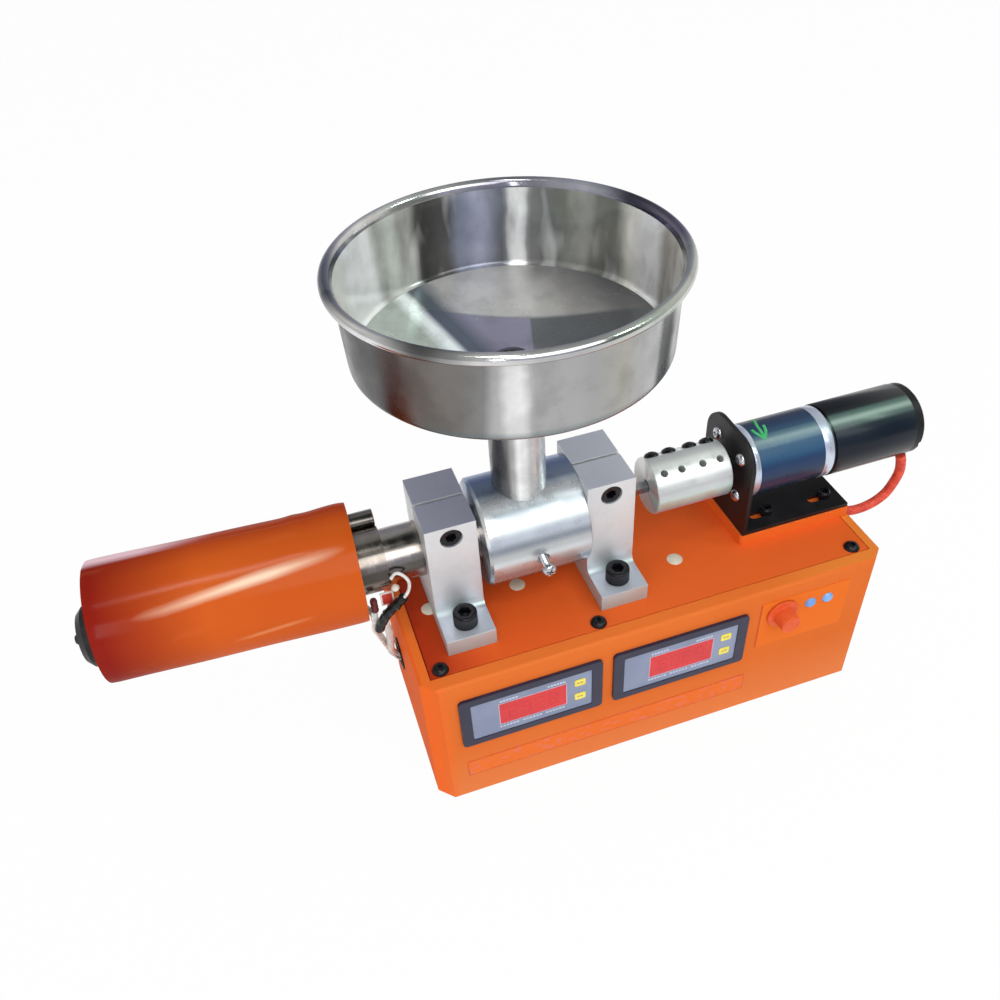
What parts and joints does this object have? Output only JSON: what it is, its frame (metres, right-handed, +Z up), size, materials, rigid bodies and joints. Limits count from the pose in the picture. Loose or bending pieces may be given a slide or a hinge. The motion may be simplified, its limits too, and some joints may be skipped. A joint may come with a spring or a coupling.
{
  "type": "desktop filament extruder",
  "caption": "Desktop filament extruder: heated barrel with wrapped sleeve, steel feed hopper, clamped bearing blocks and gear motor on an orange case with panel meters.",
  "frame": {"origin": "on the floor, under the middle of the machine's length and width", "axes": "+Z up, +X along the drive line from the nozzle towards the motor, -Y towards the front with the panel meters"},
  "size_m": [0.472, 0.162, 0.299],
  "materials": {
    "orange_case": "satin paint",
    "black_plastic": "matt",
    "orange_plate": "satin paint",
    "black_steel": "black oxide",
    "white_plastic": "satin",
    "riser_orange": "satin",
    "meter_frame": "satin",
    "meter_face": "matt film",
    "display_red": "gloss",
    "key_yellow": "matt film",
    "strip_film": "satin film",
    "knob_orange": "satin",
    "lamp_blue": "gloss",
    "block_alloy": "cast and milled",
    "turned_steel": "fine turned",
    "zinc_screw": "zinc plated",
    "bowl_steel": "polished stainless",
    "barrel_steel": "polished",
    "heater_steel": "drawn",
    "insulation_wool": "fibrous",
    "sleeve_film": "gloss",
    "screw_steel": "turned",
    "coupling_alloy": "turned",
    "ring_zinc": "zinc plated",
    "gearbox_blue": "satin",
    "motor_black": "satin",
    "cable_red": "braided sleeving",
    "lead_white": "satin"
  },
  "bodies": {
    "machine": {"base_case": "orange_case", "base_cover": "black_plastic", "top_plate": "orange_plate", "plate_screws": "black_steel", "hole_plugs": "white_plastic", "motor_riser": "riser_orange", "left_meter_frame": "meter_frame", "left_meter_face": "meter_face", "right_meter_frame": "meter_frame", "right_meter_face": "meter_face", "meter_windows": "display_red", "meter_keys": "key_yellow", "caption_strip": "strip_film", "knob_panel": "strip_film", "indicator_lamps": "lamp_blue", "left_bearing_block": "block_alloy", "right_bearing_block": "block_alloy", "clamp_screws": "black_steel", "foot_bolts": "black_steel", "feed_housing": "turned_steel", "housing_screw": "zinc_screw", "hopper_bowl": "bowl_steel", "hopper_neck": "bowl_steel", "barrel": "barrel_steel", "heater_band": "heater_steel", "heater_rod": "heater_steel", "insulation": "insulation_wool", "heater_sleeve": "sleeve_film", "die_cap": "black_steel", "nozzle": "black_steel", "motor_bracket": "black_steel", "bracket_screws": "black_steel", "gearbox_screws": "zinc_screw", "gearbox_flange": "black_steel", "gearbox_front_ring": "ring_zinc", "gearbox_case": "gearbox_blue", "gearbox_rear_ring": "ring_zinc", "motor_can": "motor_black", "motor_end_cap": "black_plastic", "motor_cable": "cable_red", "heater_leads": "lead_white", "lead_wrap": "black_plastic", "lead_connector": "white_plastic", "cable_grommets": "black_plastic"},
    "drive_line": {"coupling": "coupling_alloy", "coupling_screws": "black_steel", "gearbox_shaft": "screw_steel", "feed_screw": "screw_steel"},
    "speed_dial": {"speed_knob": "knob_orange"}
  },
  "joints": [
    {"name": "drive_spin", "type": "hinge", "parent": "machine", "child": "drive_line", "pos_m": [0.0925, 0, 0.142], "axis": [1, 0, 0], "continuous": true},
    {"name": "speed_turn", "type": "hinge", "parent": "machine", "child": "speed_dial", "pos_m": [0.1268, -0.063, 0.08], "axis": [0, -1, 0], "range_deg": [-150, 150]}
  ]
}
